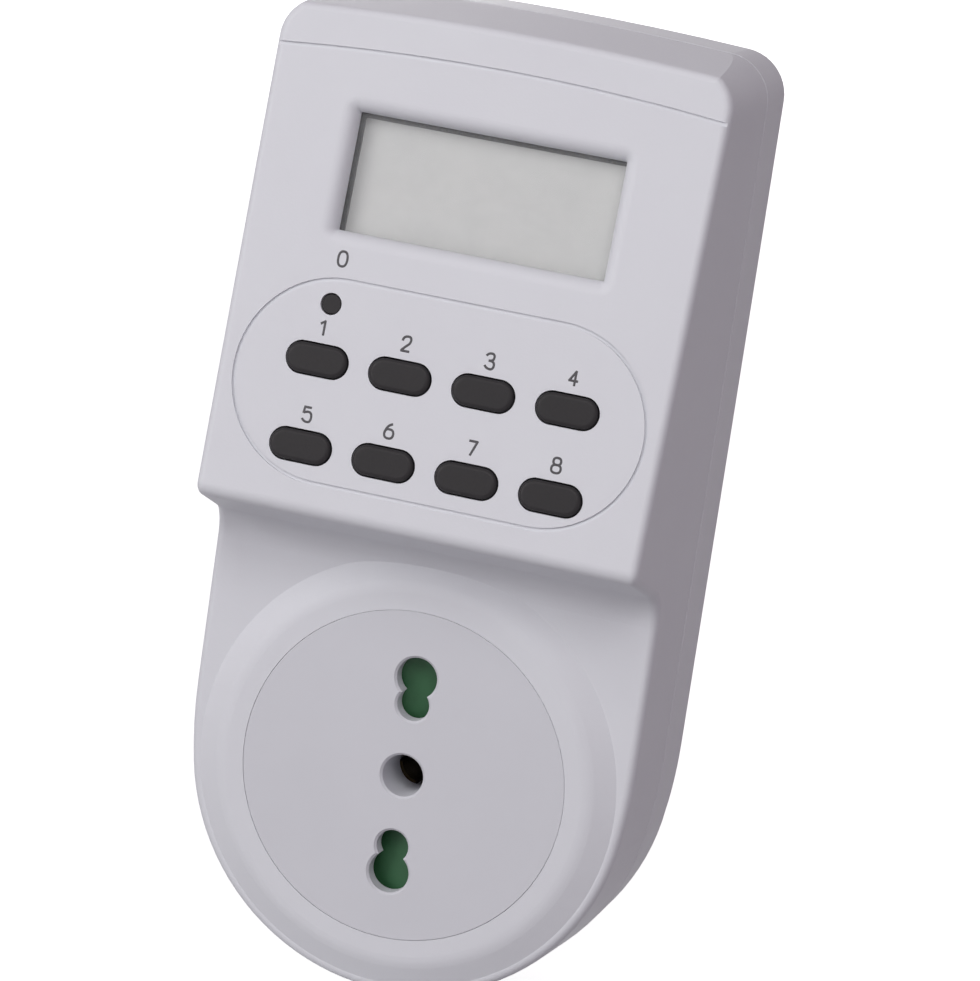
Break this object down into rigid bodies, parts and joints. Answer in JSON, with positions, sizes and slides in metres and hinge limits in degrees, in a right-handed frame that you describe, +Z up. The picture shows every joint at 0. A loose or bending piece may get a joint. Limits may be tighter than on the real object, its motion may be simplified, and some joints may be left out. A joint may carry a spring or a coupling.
{
  "type": "plug-in digital timer",
  "caption": "Digital plug-in timer: sloped control panel with display, oval keys and recessed reset, above a round outlet face with safety shutter; plug pins on the back.",
  "frame": {"origin": "centre of the plug's middle pin on the flat back plane", "axes": "+X to the right seen from the front, +Y along the plug pins into the wall, +Z up to the display"},
  "size_m": [0.0608, 0.0551, 0.1279],
  "materials": {
    "case_plastic": "fine matt moulded ABS",
    "shutter_plastic": "moulded green",
    "spring_steel": "drawn wire",
    "insulating_plastic": "moulded",
    "contact_brass": "stamped",
    "pin_nickel": "nickel-plated brass, turned",
    "sleeve_plastic": "moulded",
    "clear_window": "clear",
    "display_glass": "grey reflective back",
    "dark_plastic": "moulded",
    "connector_rubber": "layered",
    "board_laminate": "laminate",
    "chip_resin": "poured",
    "crystal_can": "drawn can",
    "keypad_rubber": "moulded",
    "key_plastic": "satin",
    "relay_plastic": "moulded",
    "film_box": "moulded box",
    "capacitor_sleeve": "shrunk sleeve",
    "battery_steel": "pressed",
    "diode_resin": "moulded",
    "resistor_body": "coated",
    "varistor_coat": "dipped",
    "ribbon_plastic": "extruded",
    "line_insulation": "extruded",
    "neutral_insulation": "extruded",
    "load_insulation": "extruded",
    "screw_steel": "zinc plated"
  },
  "bodies": {
    "case": {"front_cover": "case_plastic", "rear_cover": "case_plastic", "socket_insert": "case_plastic", "shutter_spring": "spring_steel", "contact_block": "insulating_plastic", "line_contact": "contact_brass", "neutral_contact": "contact_brass", "earth_contact": "contact_brass", "line_strip": "contact_brass", "plug_base": "insulating_plastic", "line_pin": "pin_nickel", "neutral_pin": "pin_nickel", "earth_pin": "pin_nickel", "pin_sleeves": "sleeve_plastic", "display_window": "clear_window", "lcd_glass": "display_glass", "lcd_frame": "dark_plastic", "zebra_strips": "connector_rubber", "control_board": "board_laminate", "controller_chip": "chip_resin", "quartz_crystal": "crystal_can", "keypad_mat": "keypad_rubber", "power_board": "board_laminate", "relay": "relay_plastic", "film_capacitor": "film_box", "filter_capacitor": "capacitor_sleeve", "backup_battery": "battery_steel", "rectifier_diodes": "diode_resin", "surge_resistor": "resistor_body", "surge_varistor": "varistor_coat", "ribbon_cable": "ribbon_plastic", "line_lead": "line_insulation", "neutral_lead": "neutral_insulation", "load_lead": "load_insulation", "case_screws": "screw_steel", "board_screws": "screw_steel", "power_board_screws": "screw_steel"},
    "week_key": {"week_key": "key_plastic"},
    "hour_key": {"hour_key": "key_plastic"},
    "minute_key": {"minute_key": "key_plastic"},
    "recall_key": {"recall_key": "key_plastic"},
    "clock_key": {"clock_key": "key_plastic"},
    "timer_key": {"timer_key": "key_plastic"},
    "mode_key": {"mode_key": "key_plastic"},
    "random_key": {"random_key": "key_plastic"},
    "reset_button": {"reset_button": "key_plastic"},
    "shutter": {"shutter": "shutter_plastic"}
  },
  "joints": [
    {"name": "week_key_press", "type": "slide", "parent": "case", "child": "week_key", "axis": [0, 0.9861, -0.1659], "range_m": [0, 0.0008], "stiffness_N_per_m": 600, "springref_m": -0.0005},
    {"name": "hour_key_press", "type": "slide", "parent": "case", "child": "hour_key", "axis": [0, 0.9861, -0.1659], "range_m": [0, 0.0008], "stiffness_N_per_m": 600, "springref_m": -0.0005},
    {"name": "minute_key_press", "type": "slide", "parent": "case", "child": "minute_key", "axis": [0, 0.9861, -0.1659], "range_m": [0, 0.0008], "stiffness_N_per_m": 600, "springref_m": -0.0005},
    {"name": "recall_key_press", "type": "slide", "parent": "case", "child": "recall_key", "axis": [0, 0.9861, -0.1659], "range_m": [0, 0.0008], "stiffness_N_per_m": 600, "springref_m": -0.0005},
    {"name": "clock_key_press", "type": "slide", "parent": "case", "child": "clock_key", "axis": [0, 0.9861, -0.1659], "range_m": [0, 0.0008], "stiffness_N_per_m": 600, "springref_m": -0.0005},
    {"name": "timer_key_press", "type": "slide", "parent": "case", "child": "timer_key", "axis": [0, 0.9861, -0.1659], "range_m": [0, 0.0008], "stiffness_N_per_m": 600, "springref_m": -0.0005},
    {"name": "mode_key_press", "type": "slide", "parent": "case", "child": "mode_key", "axis": [0, 0.9861, -0.1659], "range_m": [0, 0.0008], "stiffness_N_per_m": 600, "springref_m": -0.0005},
    {"name": "random_key_press", "type": "slide", "parent": "case", "child": "random_key", "axis": [0, 0.9861, -0.1659], "range_m": [0, 0.0008], "stiffness_N_per_m": 600, "springref_m": -0.0005},
    {"name": "reset_button_press", "type": "slide", "parent": "case", "child": "reset_button", "axis": [0, 0.9861, -0.1659], "range_m": [0, 0.0008], "stiffness_N_per_m": 500, "springref_m": -0.0005},
    {"name": "shutter_turn", "type": "hinge", "parent": "case", "child": "shutter", "pos_m": [0, -0.0214, 0], "axis": [0, 1, 0], "range_deg": [0, 31], "stiffness_Nm_per_rad": 0.004, "springref_deg": -20.05, "deforming": ["shutter_spring"]}
  ]
}
